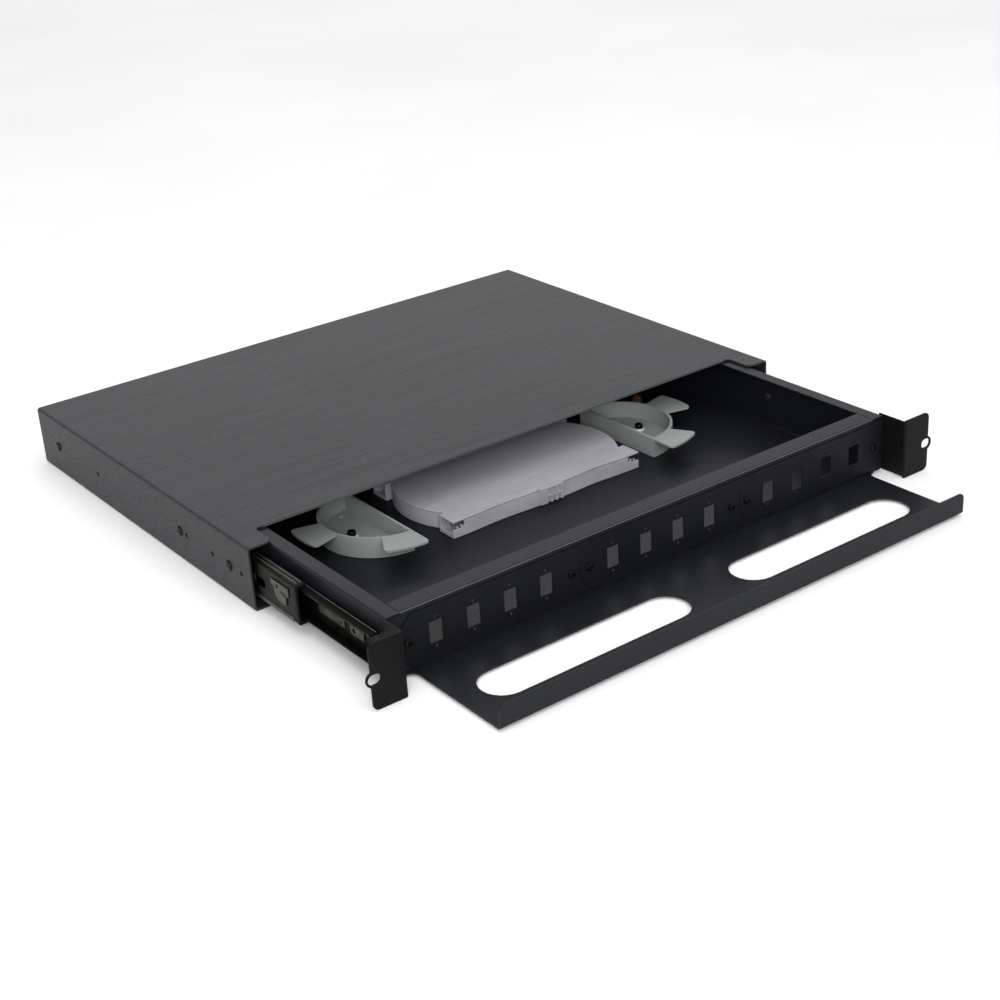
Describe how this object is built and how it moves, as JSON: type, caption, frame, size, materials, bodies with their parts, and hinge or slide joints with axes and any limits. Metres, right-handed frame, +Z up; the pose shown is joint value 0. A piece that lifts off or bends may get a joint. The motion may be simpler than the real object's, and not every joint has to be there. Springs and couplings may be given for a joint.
{
  "type": "fiber termination box",
  "caption": "Rack-mount fibre termination box: flat steel sleeve with a sliding drawer, adapter plates, storage spools, a lidded splice tray and a slotted front cable tray.",
  "frame": {"origin": "centre of the housing's underside: x = 0 on the centre line, y = 0 half way along the sleeve, z = 0 at its underside; the drawer is half out at rest", "axes": "+X to the right seen from the front, +Y towards the rear (the drawer opens towards -Y), +Z up"},
  "size_m": [0.4748, 0.5565, 0.0444],
  "materials": {
    "powder_coat": "fine textured powder coat",
    "drawer_coat": "fine textured powder coat",
    "plate_coat": "fine textured powder coat",
    "slide_steel": "dark zinc plate",
    "ball_cage_steel": "bright rolled strip",
    "black_plastic": "moulded",
    "spool_plastic": "moulded satin",
    "tray_plastic": "moulded satin",
    "black_screw": "black oxide",
    "bright_steel": "zinc plate",
    "brass": "turned"
  },
  "bodies": {
    "housing": {"housing_sleeve": "powder_coat", "housing_rear_panel": "powder_coat", "cable_gland_left": "black_plastic", "cable_gland_right": "black_plastic", "gland_locknut_left": "black_plastic", "gland_locknut_right": "black_plastic", "slide_left_outer_member": "slide_steel", "slide_right_outer_member": "slide_steel", "slide_screw_left_1": "black_screw", "slide_screw_left_2": "black_screw", "slide_screw_left_3": "black_screw", "slide_screw_right_1": "black_screw", "slide_screw_right_2": "black_screw", "slide_screw_right_3": "black_screw"},
    "outer_cages": {"slide_left_outer_ball_cage": "ball_cage_steel", "slide_right_outer_ball_cage": "ball_cage_steel"},
    "middle_members": {"slide_left_middle_member": "slide_steel", "slide_right_middle_member": "slide_steel", "slide_left_bumper": "black_plastic", "slide_right_bumper": "black_plastic"},
    "inner_cages": {"slide_left_inner_ball_cage": "ball_cage_steel", "slide_right_inner_ball_cage": "ball_cage_steel"},
    "drawer": {"drawer_tray": "drawer_coat", "drawer_front_wall": "drawer_coat", "adapter_plate_1": "plate_coat", "adapter_plate_2": "plate_coat", "adapter_plate_3": "plate_coat", "plate_screw_1": "black_screw", "plate_screw_2": "black_screw", "plate_screw_3": "black_screw", "plate_screw_4": "black_screw", "plate_screw_5": "black_screw", "plate_screw_6": "black_screw", "rack_ear_left": "powder_coat", "rack_ear_right": "powder_coat", "slide_left_inner_member": "slide_steel", "slide_right_inner_member": "slide_steel", "inner_slide_screw_left_1": "bright_steel", "inner_slide_screw_left_2": "bright_steel", "inner_slide_screw_right_1": "bright_steel", "inner_slide_screw_right_2": "bright_steel", "spool_left": "spool_plastic", "spool_right": "spool_plastic", "spool_washer_left": "bright_steel", "spool_washer_right": "bright_steel", "spool_screw_left": "black_screw", "spool_screw_right": "black_screw", "cable_tie_bridge_left": "drawer_coat", "cable_tie_bridge_right": "drawer_coat", "splice_tray_base": "tray_plastic", "splice_holder_comb": "black_plastic", "splice_tray_screw_front": "bright_steel", "splice_tray_screw_rear": "bright_steel", "earth_stud": "brass"},
    "splice_lid": {"splice_tray_lid": "tray_plastic"}
  },
  "joints": [
    {"name": "drawer_slide", "type": "slide", "parent": "housing", "child": "drawer", "axis": [0, -1, 0], "range_m": [-0.148, 0.132]},
    {"name": "outer_cage_slide", "type": "slide", "parent": "housing", "child": "outer_cages", "axis": [0, -1, 0], "range_m": [-0.037, 0.033]},
    {"name": "middle_member_slide", "type": "slide", "parent": "housing", "child": "middle_members", "axis": [0, -1, 0], "range_m": [-0.074, 0.066]},
    {"name": "inner_cage_slide", "type": "slide", "parent": "housing", "child": "inner_cages", "axis": [0, -1, 0], "range_m": [-0.111, 0.099]},
    {"name": "splice_lid_lift", "type": "slide", "parent": "drawer", "child": "splice_lid", "axis": [0, 0, 1], "range_m": [0, 0.02]}
  ],
  "couplings": [
    {"joint": "outer_cage_slide", "follows": "drawer_slide", "ratio": 0.25},
    {"joint": "middle_member_slide", "follows": "drawer_slide", "ratio": 0.5},
    {"joint": "inner_cage_slide", "follows": "drawer_slide", "ratio": 0.75}
  ]
}
